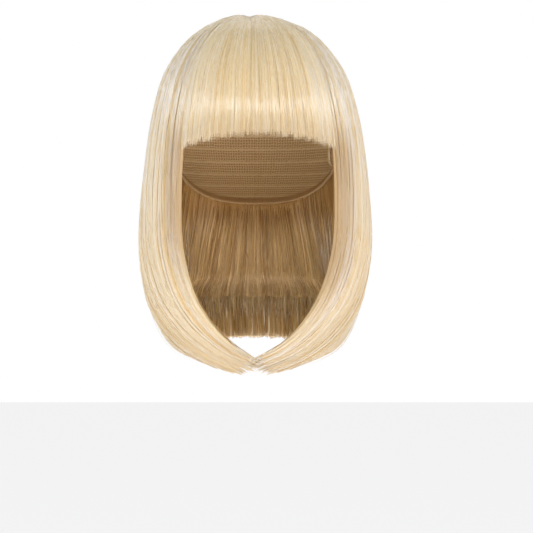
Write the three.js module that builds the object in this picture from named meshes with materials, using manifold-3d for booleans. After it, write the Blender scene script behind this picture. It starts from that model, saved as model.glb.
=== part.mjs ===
// Bob wig with a full blunt fringe, in millimetres, +Z up, the wearer facing -Y and the wearer's left on +X.
// The origin is the inner top of the cap, the point that sits on the crown.
//
// The hair is a set of curtains of locks. Every strand leaves a small whorl on the crown and follows one
// family of lines, strandPoint(around, along). A curtain is the skin over some of those lines, with a rounded
// ridge for each lock, and it is a wall that is hollow inside, seated on a thin stretch cap.
import * as THREE from "three";
import { mergeVertices } from "three/addons/utils/BufferGeometryUtils.js";
import Module from "manifold-3d";

const wasm = await Module();
wasm.setup();

// Cap, measured inside
const capHalfWidth = 77;
const capHalfDepth = 96;
const capHeight = 85;
const capWall = 1.5;
const capForeheadEdge = 42;
const capTempleEdge = 85;
const capEarTabEdge = 120;
const capEarCutTop = 92;
const capNapeEdge = 152;

// Skin top at the whorl
const patchRadius = 14;
const patchWall = 1.2;

// Gap between neighbouring pieces
const clearance = 0.3;

// How far the hair stands out from the cap at the crown, the sides, the forehead and the back of the head
const crownFullness = 8.4;
const sideFullness = 20;
const frontFullness = 8.5;
const backFullness = 15.5;

// Lengths of the hair: curtains from the widest round of the cap to the longest tip, and how far below the
// crown the fringe ends, at its middle and at its two ends
const curtainLength = 210;
const fringeDrop = 100.5;
const fringeArch = 7.5;

// Thickness of the hair in the curtains, beside the face, and at the tips
const curtainThickness = 12;
const faceThickness = 5;
const tipThickness = 4.5;

// Inner layer at the nape: its thickness where it is sewn to the cap and at its tips, how far it hangs below
// the widest round of the cap, and how far it stays from the hair over it
const napeSeatDepth = 32;
const napeTipThickness = 8;
const napeLength = 178;
const napeGap = 2;

// Locks: how proud a ridge stands, how much further its middle hangs than its edges in the curtains and in
// the fringe, and how uneven they are
const lockRelief = 1.9;
const lockPoint = 6;
const fringePoint = 2.5;
const lockUneven = 0.22;

// Where the whorl is, from the middle of the cap, and the short parting that runs through it from front to back
const whorlX = -5;
const whorlY = 6;
const partingDepth = 2.2;
const partingWidth = 7;
const partingLength = 44;

// Angles round the head in degrees, from the middle of the back, at which one curtain ends and the next starts
const fringeEdgeLeft = 133.7;
const fringeEdgeRight = 138.3;
const faceThinning = 30;
const backEdge = 60;
const napeEdge = 62;

const hairHalfWidth = capHalfWidth + capWall + sideFullness;
const hairFrontDepth = capHalfDepth + capWall + frontFullness;
const hairBackDepth = capHalfDepth + capWall + backFullness;
const seatDepth = Math.max(crownFullness, sideFullness, frontFullness, backFullness);
const crownTop = capWall + crownFullness;
const domeHeight = crownTop + capHeight;
const strandLength = (domeHeight + curtainLength) * 1.35;

// Rounds of the hair, from the whorl to the longest tip. Each is an ellipse that is deeper at the back than
// at the front.
//   along: share of a strand's length
//   dome, hang: height lost, as shares of domeHeight and of curtainLength
//   wide, front, back: shares of hairHalfWidth, hairFrontDepth and hairBackDepth
//   whorl: how much of the whorl's offset is left
//   swept: how far the strand has turned towards its tip's own angle
const ROUNDS = [
  { along: 0.0, dome: 0.02, hang: 0, wide: 0.04, front: 0.04, back: 0.04, whorl: 1, swept: 0 },
  { along: 0.022, dome: 0.001, hang: 0, wide: 0.125, front: 0.115, back: 0.11, whorl: 0.95, swept: 0 },
  { along: 0.06, dome: 0.044, hang: 0, wide: 0.285, front: 0.31, back: 0.27, whorl: 0.7, swept: 0 },
  { along: 0.1, dome: 0.13, hang: 0, wide: 0.45, front: 0.49, back: 0.45, whorl: 0.5, swept: 0 },
  { along: 0.16, dome: 0.275, hang: 0, wide: 0.61, front: 0.675, back: 0.64, whorl: 0.5, swept: 0 },
  { along: 0.24, dome: 0.545, hang: 0, wide: 0.795, front: 0.872, back: 0.85, whorl: 0.42, swept: 0 },
  { along: 0.315, dome: 0.862, hang: 0, wide: 0.893, front: 0.972, back: 0.97, whorl: 0.3, swept: 0 },
  { along: 0.39, dome: 1, hang: 0.0905, wide: 0.945, front: 0.99, back: 1, whorl: 0.16, swept: 0 },
  { along: 0.5, dome: 1, hang: 0.305, wide: 0.987, front: 0.93, back: 0.975, whorl: 0, swept: 0.035 },
  { along: 0.6, dome: 1, hang: 0.5, wide: 1, front: 0.87, back: 0.92, whorl: 0, swept: 0.08 },
  { along: 0.7, dome: 1, hang: 0.69, wide: 0.95, front: 0.81, back: 0.85, whorl: 0, swept: 0.2 },
  { along: 0.785, dome: 1, hang: 0.82, wide: 0.845, front: 0.76, back: 0.76, whorl: 0, swept: 0.37 },
  { along: 0.89, dome: 1, hang: 0.93, wide: 0.74, front: 0.72, back: 0.67, whorl: 0, swept: 0.66 },
  { along: 1.0, dome: 1, hang: 1, wide: 0.63, front: 0.7, back: 0.6, whorl: 0, swept: 1 },
];

// Tips, from the middle of the back to the strand beside the fringe.
//   from: where the strand starts, as a share of the angle from the back to the fringe
//   turned: the angle at which its tip ends, in degrees
//   reach: how far down the tip hangs, as a share of curtainLength
const TIPS = [
  { from: 0.0, turned: 0, reach: 0.87 },
  { from: 0.22, turned: 42, reach: 0.874 },
  { from: 0.33, turned: 75, reach: 0.884 },
  { from: 0.44, turned: 120, reach: 0.932 },
  { from: 0.55, turned: 150, reach: 0.973 },
  { from: 0.66, turned: 167, reach: 0.992 },
  { from: 0.81, turned: 175, reach: 0.972 },
  { from: 1.0, turned: 179.4, reach: 0.93 },
];

// Smooth value of one column of a table at x: a cubic between rows, with each row's slope taken from the two
// rows beside it
function tableValue(table, key, column, x) {
  const last = table.length - 1;
  let i = 0;
  while (i < last - 1 && x > table[i + 1][key]) i += 1;
  const slopeAt = (row) => {
    const before = table[Math.max(row - 1, 0)];
    const after = table[Math.min(row + 1, last)];
    return (after[column] - before[column]) / (after[key] - before[key]);
  };
  const width = table[i + 1][key] - table[i][key];
  const t = (x - table[i][key]) / width;
  const fromStart = table[i][column] * (1 + 2 * t) + slopeAt(i) * width * t;
  const fromEnd = table[i + 1][column] * (3 - 2 * t) - slopeAt(i + 1) * width * (1 - t);
  return fromStart * (1 - t) * (1 - t) + fromEnd * t * t;
}

// Height below the crown of a strand that hangs to the longest tip
function heightLost(along) {
  const dome = tableValue(ROUNDS, "along", "dome", along) * domeHeight;
  return dome + tableValue(ROUNDS, "along", "hang", along) * curtainLength;
}

// The share of a strand's length at which it has lost a given height, found by halving
function alongAtHeight(lost) {
  let low = ROUNDS[1].along;
  let high = 1;
  for (let step = 0; step < 40; step += 1) {
    const middle = (low + high) / 2;
    if (heightLost(middle) < lost) low = middle;
    else high = middle;
  }
  return (low + high) / 2;
}

// A point on the outer form of the hair. around is in degrees from the middle of the back, positive on the
// wearer's left, and along runs from the whorl at 0 to the tip at 1.
function strandPoint(around, along) {
  const turn = around > 180 ? around - 360 : around;
  const edge = turn < 0 ? fringeEdgeRight : fringeEdgeLeft;
  const from = Math.min(Math.abs(turn) / edge, 1);
  const swept = tableValue(ROUNDS, "along", "swept", along);
  const tipTurn = tableValue(TIPS, "from", "turned", from) + Math.max(Math.abs(turn) - edge, 0);
  const reach = tableValue(TIPS, "from", "reach", from);
  const angle = Math.sign(turn) * THREE.MathUtils.degToRad(Math.abs(turn) * (1 - swept) + tipTurn * swept);
  const offset = tableValue(ROUNDS, "along", "whorl", along);
  const side = tableValue(ROUNDS, "along", "wide", along) * hairHalfWidth;
  const front = tableValue(ROUNDS, "along", "front", along) * hairFrontDepth;
  const back = tableValue(ROUNDS, "along", "back", along) * hairBackDepth;
  const depth = Math.cos(angle) < 0 ? front : back;
  const fromWhorlX = whorlX * (offset - 1) + side * Math.sin(angle);
  const fromWhorlY = whorlY * (offset - 1) + depth * Math.cos(angle);
  const parting = Math.exp(-4 * ((fromWhorlX / partingWidth) ** 2 + (fromWhorlY / partingLength) ** 2));
  const lift = swept * (1 - reach) * curtainLength;
  const z = crownTop - heightLost(along) + lift - partingDepth * parting;
  return new THREE.Vector3(whorlX + fromWhorlX, whorlY + fromWhorlY, z);
}

// Outward direction of the hair's outer form, from two short steps along it
function strandNormal(around, along) {
  const step = 0.5;
  const share = 0.004;
  const low = Math.max(along - share, 0);
  const high = Math.min(along + share, 1);
  const across = strandPoint(around + step, along).sub(strandPoint(around - step, along));
  const down = strandPoint(around, high).sub(strandPoint(around, low));
  return across.cross(down).normalize();
}

// Degrees round the head that a length in millimetres takes, at a point of the outer form
function degreesFor(length, around, along) {
  const step = 0.5;
  return length / strandPoint(around + step, along).distanceTo(strandPoint(around, along)) * step;
}

// Thickness of the hair over the cap: just over its height at the whorl, and from the shoulder of the crown on
// enough to reach the cap everywhere
function seatAt(along) {
  return THREE.MathUtils.lerp(crownTop + clearance, seatDepth, THREE.MathUtils.smoothstep(along, 0, crownShoulder));
}

// Thickness of a curtain: deep enough to reach the cap above its widest round, even below it, and thinner
// beside the face and at the tips
function curtainDepth(around, along, end) {
  const edge = around < 0 ? fringeEdgeRight : fringeEdgeLeft;
  const besideFace = THREE.MathUtils.smoothstep(Math.abs(around), edge - faceThinning, edge);
  const hanging = THREE.MathUtils.smoothstep(along, seatEnd, fringeCorner);
  const tipShare = THREE.MathUtils.smoothstep(along, end - tipThinning, end);
  const hung = THREE.MathUtils.lerp(curtainThickness, faceThickness, besideFace);
  return THREE.MathUtils.lerp(THREE.MathUtils.lerp(seatAt(along), hung, hanging), tipThickness, tipShare);
}

// A closed body from rows of outer and inner points. The outer rows have three columns for each lock and the
// inner rows have one, and the four edges are closed between them.
function closedSkin(outer, inner, perLock) {
  const points = [...outer.flat(), ...inner.flat()];
  const across = outer[0].length;
  const acrossInner = inner[0].length;
  const base = outer.length * across;
  const out = (row, column) => row * across + column;
  const inn = (row, column) => base + row * acrossInner + column;
  const faces = [];
  for (let row = 0; row + 1 < outer.length; row += 1) {
    for (let column = 0; column + 1 < across; column += 1) {
      faces.push([out(row, column), out(row + 1, column + 1), out(row + 1, column)]);
      faces.push([out(row, column), out(row, column + 1), out(row + 1, column + 1)]);
    }
    for (let column = 0; column + 1 < acrossInner; column += 1) {
      faces.push([inn(row, column), inn(row + 1, column), inn(row + 1, column + 1)]);
      faces.push([inn(row, column), inn(row + 1, column + 1), inn(row, column + 1)]);
    }
    const endOut = across - 1;
    const endIn = acrossInner - 1;
    faces.push([out(row, 0), out(row + 1, 0), inn(row + 1, 0)]);
    faces.push([out(row, 0), inn(row + 1, 0), inn(row, 0)]);
    faces.push([out(row, endOut), inn(row, endIn), inn(row + 1, endIn)]);
    faces.push([out(row, endOut), inn(row + 1, endIn), out(row + 1, endOut)]);
  }
  for (const row of [0, outer.length - 1]) {
    const rim = [];
    for (let lock = 0; lock + 1 < acrossInner; lock += 1) {
      for (let k = 0; k < perLock; k += 1) {
        const nearest = k < perLock / 2 ? lock : lock + 1;
        const column = lock * perLock + k;
        rim.push([out(row, column + 1), out(row, column), inn(row, nearest)]);
      }
      const half = lock * perLock + Math.ceil(perLock / 2);
      rim.push([out(row, half), inn(row, lock), inn(row, lock + 1)]);
    }
    for (const face of rim) faces.push(row === 0 ? face : [face[0], face[2], face[1]]);
  }
  const vertProperties = new Float32Array(points.flatMap((p) => [p.x, p.y, p.z]));
  const triVerts = new Uint32Array(faces.flat());
  return new wasm.Manifold(new wasm.Mesh({ numProp: 3, vertProperties, triVerts }));
}

// A curtain of hair between two angles. Two sine waves make the locks slightly different in width and length,
// ridges rise from nothing at the whorl, and the last row ends in one point for each lock. stopsAt gives the
// rows of a strand as shares of its length, and inset pushes the whole curtain inwards.
function curtain({ from, to, locks, relief, point, stopsAt, inset, depthAt }) {
  const perLock = 3;
  const edges = [];
  for (let lock = 0; lock <= locks; lock += 1) {
    const uneven = lock > 0 && lock < locks ? lockUneven * Math.sin(lock * 2.4 + from) : 0;
    edges.push((lock + uneven) / locks);
  }
  const outer = stopsAt(from).map(() => []);
  const inner = stopsAt(from).map(() => []);
  for (let column = 0; column <= locks * perLock; column += 1) {
    const lock = Math.min(Math.floor(column / perLock), locks - 1);
    const within = column / perLock - lock;
    const share = edges[lock] * (1 - within) + edges[lock + 1] * within;
    const ridge = Math.sin(Math.PI * within);
    const plain = from + (to - from) * share;
    const stops = stopsAt(plain);
    const end = stops[stops.length - 1];
    const shorter = point * (1 - ridge * (1 - lockUneven * Math.sin(lock * 1.7)));
    stops[stops.length - 1] -= shorter / strandLength;
    stops.forEach((along, row) => {
      const around = plain + degreesFor(clearance / 2, plain, along) * (1 - 2 * share);
      const normal = strandNormal(around, along);
      const skin = strandPoint(around, along).addScaledVector(normal, -inset(around, along));
      const grown = relief * ridge * THREE.MathUtils.smoothstep(along, 0, ridgeFull);
      outer[row].push(skin.clone().addScaledVector(normal, grown));
      if (column % perLock === 0) inner[row].push(skin.addScaledVector(normal, -depthAt(around, along, end)));
    });
  }
  return closedSkin(outer, inner, perLock);
}

// A three.js geometry as a solid that can be cut and joined
function solidFrom(geometry) {
  const bare = geometry.index ? geometry.toNonIndexed() : geometry.clone();
  for (const name of Object.keys(bare.attributes)) if (name !== "position") bare.deleteAttribute(name);
  const merged = mergeVertices(bare, 1e-4);
  const vertProperties = new Float32Array(merged.attributes.position.array);
  const triVerts = new Uint32Array(merged.index.array);
  return new wasm.Manifold(new wasm.Mesh({ numProp: 3, vertProperties, triVerts }));
}

// A solid as a named three.js mesh
function meshFrom(solid, name, material) {
  const cut = solid.getMesh();
  const geometry = new THREE.BufferGeometry();
  geometry.setAttribute("position", new THREE.BufferAttribute(new Float32Array(cut.vertProperties), 3));
  geometry.setIndex(new THREE.BufferAttribute(new Uint32Array(cut.triVerts), 1));
  geometry.computeVertexNormals();
  const mesh = new THREE.Mesh(geometry, material);
  mesh.name = name;
  return mesh;
}

// The rounded form of the cap, larger than its inside by the given amount all round
function capForm(grow) {
  const geometry = new THREE.SphereGeometry(1, 40, 20);
  geometry.rotateX(Math.PI / 2);
  geometry.scale(capHalfWidth + grow, capHalfDepth + grow, capHeight + grow);
  geometry.translate(0, 0, -capHeight);
  return solidFrom(geometry);
}

// Everything inside the cap's edge, seen from the side: forehead, temple, ear tab, ear cut-out and nape
function capOutline() {
  const outside = capHalfDepth * 1.3;
  const outline = new THREE.Shape();
  outline.moveTo(-outside, outside);
  outline.lineTo(-outside, -capForeheadEdge);
  outline.lineTo(-capHalfDepth, -capForeheadEdge);
  outline.quadraticCurveTo(-capHalfDepth * 0.72, -capForeheadEdge, -capHalfDepth * 0.65, -capTempleEdge);
  outline.quadraticCurveTo(-capHalfDepth * 0.55, -capEarTabEdge, -capHalfDepth * 0.4, -capEarTabEdge);
  outline.quadraticCurveTo(-capHalfDepth * 0.24, -capEarTabEdge, -capHalfDepth * 0.2, -capEarTabEdge * 0.88);
  outline.bezierCurveTo(
    -capHalfDepth * 0.12, -capEarCutTop, capHalfDepth * 0.12, -capEarCutTop,
    capHalfDepth * 0.24, -capEarTabEdge,
  );
  outline.quadraticCurveTo(capHalfDepth * 0.4, -capNapeEdge, capHalfDepth * 0.8, -capNapeEdge);
  outline.lineTo(outside, -capNapeEdge);
  outline.lineTo(outside, outside);
  outline.closePath();
  const width = capHalfWidth * 2.6;
  const geometry = new THREE.ExtrudeGeometry(outline, { depth: width, bevelEnabled: false, curveSegments: 6 });
  geometry.rotateX(Math.PI / 2);
  geometry.rotateZ(Math.PI / 2);
  geometry.translate(-width / 2, 0, 0);
  return solidFrom(geometry);
}

// A round post over the whorl, used to trim the skin top and to make room for it under the hair
function whorlPost(radius) {
  const tall = crownTop * 4;
  const geometry = new THREE.CylinderGeometry(radius, radius, tall, 32);
  geometry.rotateX(Math.PI / 2);
  geometry.translate(whorlX, whorlY, 0);
  return solidFrom(geometry);
}

const blond = { roughness: 0.42, metalness: 0 };
const hairLight = new THREE.MeshStandardMaterial({ color: 0xecdcb4, ...blond });
const hairGold = new THREE.MeshStandardMaterial({ color: 0xe3cf9c, ...blond });
const hairInner = new THREE.MeshStandardMaterial({ color: 0xb99a62, ...blond });
const stretchNet = new THREE.MeshStandardMaterial({ color: 0xd9c39a, roughness: 0.85, metalness: 0 });
const skinTop = new THREE.MeshStandardMaterial({ color: 0xdcb99a, roughness: 0.6, metalness: 0 });

const seatGap = capWall + clearance;
const patchTop = seatGap + patchWall;
const capBlank = capForm(seatGap).add(capForm(patchTop + clearance).intersect(whorlPost(patchRadius + clearance)));

// Shares of a strand's length: where the crown turns down, where the hair leaves the cap, where the fringe's
// two ends are, over how much the tips and the fringe thin out, where ridges are full, and the least distance
// between two rows
const crownShoulder = 0.16;
const seatEnd = alongAtHeight(domeHeight * 0.86);
const fringeCorner = alongAtHeight(crownTop + fringeDrop + fringeArch);
const tipThinning = 0.3;
const fringeThinning = 0.1;
const ridgeFull = 0.3;
const closestRows = 0.02;

// Rows of a curtain: the same above the fringe's ends in all of them, so that neighbours lie side by side,
// and closer together near the whorl. The fringe ends on a shallow arch over the brow, and the others at their
// own tips.
const domeRows = 8;
const hangRows = 9;
const crownCrowding = 1.35;
const fringeMiddle = 180 + (fringeEdgeLeft - fringeEdgeRight) / 2;
const stopsBetween = (from, to, count, crowding) => {
  const shares = Array.from({ length: count + 1 }, (_, k) => (k / count) ** crowding);
  return shares.map((share) => from + (to - from) * share);
};
const fringeStops = (around) => {
  const fromMiddle = (around - fringeMiddle) / (fringeMiddle - fringeEdgeLeft);
  const end = alongAtHeight(crownTop + fringeDrop + fringeArch * fromMiddle * fromMiddle);
  return stopsBetween(0, end, domeRows, crownCrowding);
};
const wholeStops = () => [
  ...stopsBetween(0, fringeCorner, domeRows, crownCrowding),
  ...stopsBetween(fringeCorner, 1, hangRows, 1).slice(1),
];
const napeEnd = alongAtHeight(domeHeight + napeLength);
const napeStops = () => [...wholeStops().slice(domeRows - 1).filter((along) => along < napeEnd - closestRows), napeEnd];

const fringeDepth = (around, along, end) => {
  const thinning = THREE.MathUtils.smoothstep(along, end - fringeThinning, end);
  return THREE.MathUtils.lerp(seatAt(along), tipThickness, thinning);
};
const flush = () => 0;
const napeRelief = lockRelief / 3;
const napeSeatEnd = alongAtHeight(crownTop + capNapeEdge);
const napeDepth = (around, along) => {
  const besideEar = THREE.MathUtils.smoothstep(Math.abs(around), napeEdge / 2, napeEdge);
  const hanging = THREE.MathUtils.smoothstep(along, napeSeatEnd, napeEnd);
  const seated = THREE.MathUtils.lerp(napeSeatDepth, curtainThickness, besideEar);
  return THREE.MathUtils.lerp(seated, napeTipThickness, hanging);
};
const behindBack = (around, along) => curtainDepth(around, along, 1) + napeGap + napeRelief;

const hair = [
  ["bangs", hairLight, {
    from: fringeEdgeLeft, to: 360 - fringeEdgeRight, locks: 12, relief: lockRelief, point: fringePoint,
    stopsAt: fringeStops, inset: flush, depthAt: fringeDepth,
  }],
  ["side_lock_left", hairGold, {
    from: backEdge, to: fringeEdgeLeft, locks: 8, relief: lockRelief, point: lockPoint,
    stopsAt: wholeStops, inset: flush, depthAt: curtainDepth,
  }],
  ["side_lock_right", hairGold, {
    from: -fringeEdgeRight, to: -backEdge, locks: 8, relief: lockRelief, point: lockPoint,
    stopsAt: wholeStops, inset: flush, depthAt: curtainDepth,
  }],
  ["back_hair", hairLight, {
    from: -backEdge, to: backEdge, locks: 13, relief: lockRelief, point: lockPoint,
    stopsAt: wholeStops, inset: flush, depthAt: curtainDepth,
  }],
  ["nape_hair", hairInner, {
    from: -napeEdge, to: napeEdge, locks: 9, relief: napeRelief, point: lockPoint,
    stopsAt: napeStops, inset: behindBack, depthAt: napeDepth,
  }],
];

const wig = new THREE.Group();
wig.add(meshFrom(capForm(capWall).subtract(capForm(0)).intersect(capOutline()), "cap", stretchNet));
wig.add(meshFrom(
  capForm(patchTop).subtract(capForm(seatGap)).intersect(whorlPost(patchRadius)),
  "crown_patch",
  skinTop,
));
for (const [name, material, shape] of hair) {
  wig.add(meshFrom(curtain(shape).subtract(capBlank), name, material));
}

export default wig;
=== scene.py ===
"""Straight bob wig with a full fringe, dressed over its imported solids.

Lengths are in metres, +Z is up, the fringe faces -Y and the wearer's left is on +X. The origin is the
inner top of the cap. Every strand leaves a small whorl on the crown and follows one family of lines, given
by strand_point: around is the angle round the wig from the middle of the back, and along runs from 0 at
the whorl to 1 at the tip. Each curtain of hair is a closed shell of packed fibre under layers of separate
fibres, and each fibre is a closed tapered tube.
"""

import bpy
import numpy as np
from bpy.props import FloatProperty, FloatVectorProperty, IntProperty, PointerProperty
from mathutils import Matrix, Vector


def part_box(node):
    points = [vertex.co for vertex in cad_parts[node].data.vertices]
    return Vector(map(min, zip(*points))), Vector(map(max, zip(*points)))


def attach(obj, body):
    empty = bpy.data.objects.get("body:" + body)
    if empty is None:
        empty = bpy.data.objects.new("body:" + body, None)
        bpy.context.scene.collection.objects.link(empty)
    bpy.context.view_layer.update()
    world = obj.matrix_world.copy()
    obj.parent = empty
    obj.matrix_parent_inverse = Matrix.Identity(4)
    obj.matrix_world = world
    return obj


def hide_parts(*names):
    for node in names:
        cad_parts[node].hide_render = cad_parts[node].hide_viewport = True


bl_info = {
    "name": "Bob Wig",
    "version": (1, 0, 0),
    "blender": (4, 5, 0),
    "location": "3D View > Sidebar > Bob Wig",
    "description": "Builds the hair, the cap and the studio of a straight bob wig with a full fringe",
    "category": "Object",
}

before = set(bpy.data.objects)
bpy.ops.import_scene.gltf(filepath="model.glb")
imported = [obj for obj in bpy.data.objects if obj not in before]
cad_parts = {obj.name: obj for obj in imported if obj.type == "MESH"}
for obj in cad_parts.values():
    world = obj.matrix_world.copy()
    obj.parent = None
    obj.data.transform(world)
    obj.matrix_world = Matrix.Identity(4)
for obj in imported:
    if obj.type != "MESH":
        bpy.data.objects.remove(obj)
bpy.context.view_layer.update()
cap_low, cap_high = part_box("cap")
patch_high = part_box("crown_patch")[1]

# Rounds of the hair, from the whorl to the longest tip: ellipses whose front and back differ in depth.
#   along: share of a strand's length
#   dome, hang: height lost, as shares of the dome's height and of the curtain's length
#   wide, front, back: shares of the hair's half width, front depth and back depth
#   whorl: how much of the whorl's offset is left
#   swept: how far the strand has turned towards its tip's own angle
ROUND_COLUMNS = ("along", "dome", "hang", "wide", "front", "back", "whorl", "swept")
ROUNDS = [
    dict(zip(ROUND_COLUMNS, row))
    for row in [
        (0.0, 0.02, 0, 0.04, 0.04, 0.04, 1, 0),
        (0.022, 0.001, 0, 0.125, 0.115, 0.11, 0.95, 0),
        (0.06, 0.044, 0, 0.285, 0.31, 0.27, 0.7, 0),
        (0.1, 0.13, 0, 0.45, 0.49, 0.45, 0.35, 0),
        (0.16, 0.275, 0, 0.61, 0.675, 0.64, 0.25, 0),
        (0.24, 0.545, 0, 0.783, 0.872, 0.85, 0.15, 0),
        (0.315, 0.862, 0, 0.878, 0.972, 0.97, 0.05, 0),
        (0.39, 1, 0.0905, 0.936, 0.99, 1, 0, 0),
        (0.5, 1, 0.305, 0.987, 0.93, 0.975, 0.04, 0.035),
        (0.6, 1, 0.5, 1, 0.87, 0.92, 0.08, 0.08),
        (0.7, 1, 0.69, 0.945, 0.81, 0.85, 0.15, 0.2),
        (0.785, 1, 0.82, 0.845, 0.76, 0.76, 0.1, 0.37),
        (0.89, 1, 0.93, 0.74, 0.72, 0.67, 0, 0.66),
        (1.0, 1, 1, 0.63, 0.7, 0.6, 0, 1),
    ]
]

# Tips, from the middle of the back to the strand beside the fringe.
#   start: where the strand starts, as a share of the angle from the back to the fringe
#   turned: the angle at which its tip ends, in degrees
#   reach: how far down the tip hangs, as a share of the curtain's length
TIPS = [
    {"start": 0.0, "turned": 0, "reach": 0.87},
    {"start": 0.22, "turned": 42, "reach": 0.874},
    {"start": 0.33, "turned": 75, "reach": 0.884},
    {"start": 0.44, "turned": 120, "reach": 0.932},
    {"start": 0.55, "turned": 150, "reach": 0.973},
    {"start": 0.66, "turned": 167, "reach": 0.992},
    {"start": 0.81, "turned": 175, "reach": 0.972},
    {"start": 1.0, "turned": 179.4, "reach": 0.93},
]

# Curtains of hair.
#   start, end: angles round the wig, in degrees from the middle of the back, between which it grows
#   locks: broad ridges; tufts: smaller bundles of fibres that draw together towards the tips
#   relief: how proud a ridge stands; point: how much further its middle hangs than its edges
#   ragged: unevenness of the fibres at the tips, as a share of the usual one; fibres of a ragged curtain
#   also wander further
#   stepped: how much of the locks' points and of the tufts' own lengths shows
#   short: how far the packed fibre ends before the tips; sunk: how deep it lies on the dome
#   drawn: how strongly tips draw together and tufts stand up, as a share of the usual
#   sway: how far fibres wander sideways, as a share of the usual way
#   mottled: how much tufts differ in tone, and creases in painted shade, as a share of the usual difference
#   front: the end of its width that hangs beside the face opening, or a number far off if none does
#   shaded: share of its width that painted shade darkens towards that end; lit: where on a strand it fades
CURTAINS = {
    "bangs": {"start": 133.7, "end": 221.7, "locks": 12, "tufts": 40, "relief": 0.0007, "point": 0.0025,
              "ragged": 1.0, "stepped": 0.3, "short": 0.003, "sunk": 0.0009, "drawn": 0.4, "sway": 0.35,
              "mottled": 0.35, "front": 9, "shaded": 0.3, "lit": 0.6},
    "side_lock_left": {"start": 60, "end": 133.7, "locks": 8, "tufts": 30, "relief": 0.0009, "point": 0.006,
                       "ragged": 1, "stepped": 1, "short": 0.006, "sunk": 0.001, "drawn": 0.8, "sway": 0.8,
                       "mottled": 0.8, "front": 1, "shaded": 0.34, "lit": 0.71},
    "side_lock_right": {"start": -138.3, "end": -60, "locks": 8, "tufts": 32, "relief": 0.0009,
                        "point": 0.006, "ragged": 1, "stepped": 1, "short": 0.006, "sunk": 0.001,
                        "drawn": 0.8, "sway": 0.8, "mottled": 0.8, "front": 0, "shaded": 0.24, "lit": 0.63},
    "back_hair": {"start": -60, "end": 60, "locks": 13, "tufts": 46, "relief": 0.0009, "point": 0.006,
                  "ragged": 1, "stepped": 1, "short": 0.004, "sunk": 0.001, "drawn": 0.8, "sway": 0.8,
                  "mottled": 0.8, "front": 9, "shaded": 0.3, "lit": 0.6},
    "nape_hair": {"start": -62, "end": 62, "locks": 9, "tufts": 56, "relief": 0.00063, "point": 0.006,
                  "ragged": 7, "stepped": 0.4, "short": 0.024, "sunk": 0.0013, "drawn": 0.6, "sway": 1,
                  "mottled": 1, "front": 9, "shaded": 0.3, "lit": 0.6},
}

# Edge of the cap seen from the side, from the forehead over the temple, the ear tab and the ear cut to the
# nape: a run of Bezier curves.
#   depth: places of a curve's points from front to back, as shares of the cap's half depth
#   drop: the sizes that say how far below the crown the same points lie
CAP_EDGE = [
    {"depth": (-1, -0.72, -0.65), "drop": ("forehead_edge", "forehead_edge", "temple_edge")},
    {"depth": (-0.65, -0.55, -0.4), "drop": ("temple_edge", "ear_tab_edge", "ear_tab_edge")},
    {"depth": (-0.4, -0.24, -0.2), "drop": ("ear_tab_edge", "ear_tab_edge", "ear_tab_corner")},
    {"depth": (-0.2, -0.12, 0.12, 0.24),
     "drop": ("ear_tab_corner", "ear_cut_top", "ear_cut_top", "ear_tab_edge")},
    {"depth": (0.24, 0.4, 0.8), "drop": ("ear_tab_edge", "nape_edge", "nape_edge")},
]

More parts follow.
